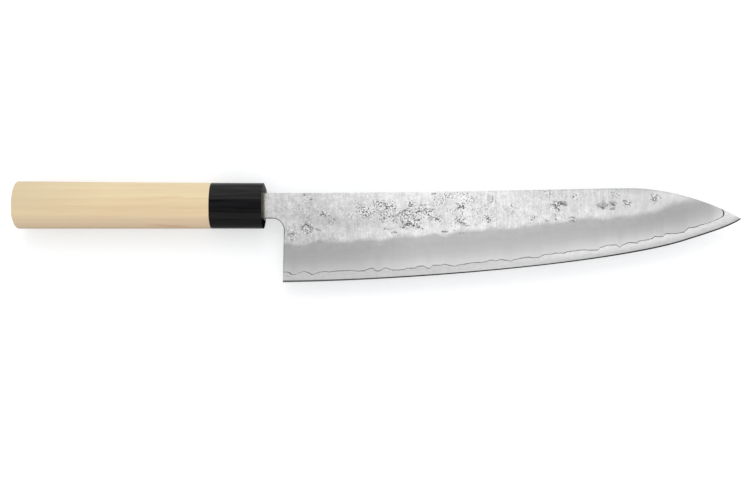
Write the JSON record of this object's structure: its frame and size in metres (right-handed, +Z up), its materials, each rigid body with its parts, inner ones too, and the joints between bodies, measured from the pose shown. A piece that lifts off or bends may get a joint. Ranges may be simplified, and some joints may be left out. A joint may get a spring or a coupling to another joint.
{
  "type": "gyuto knife",
  "caption": "Japanese chef's knife with a three-layer steel blade, a black horn ferrule and a D-section wooden handle, lying on its left side.",
  "frame": {"origin": "centre of the knife's footprint, on the plane that the handle's left side touches", "axes": "+X from the butt to the tip, +Y from the cutting edge to the spine, +Z up through the blade's thickness, out of its right side"},
  "size_m": [0.3798, 0.0531, 0.0202],
  "materials": {
    "core_steel": "fine satin, bright",
    "cladding_iron": "rough forged skin above, brushed haze below",
    "magnolia_wood": "bare, fine sanded, straight grain",
    "black_horn": "polished horn",
    "mouth_resin": "dull khaki resin"
  },
  "bodies": {
    "root": {"core_steel": "core_steel", "cladding_right": "cladding_iron", "cladding_left": "cladding_iron", "handle_body": "magnolia_wood", "ferrule": "black_horn", "mouth_resin": "mouth_resin"}
  },
  "joints": []
}
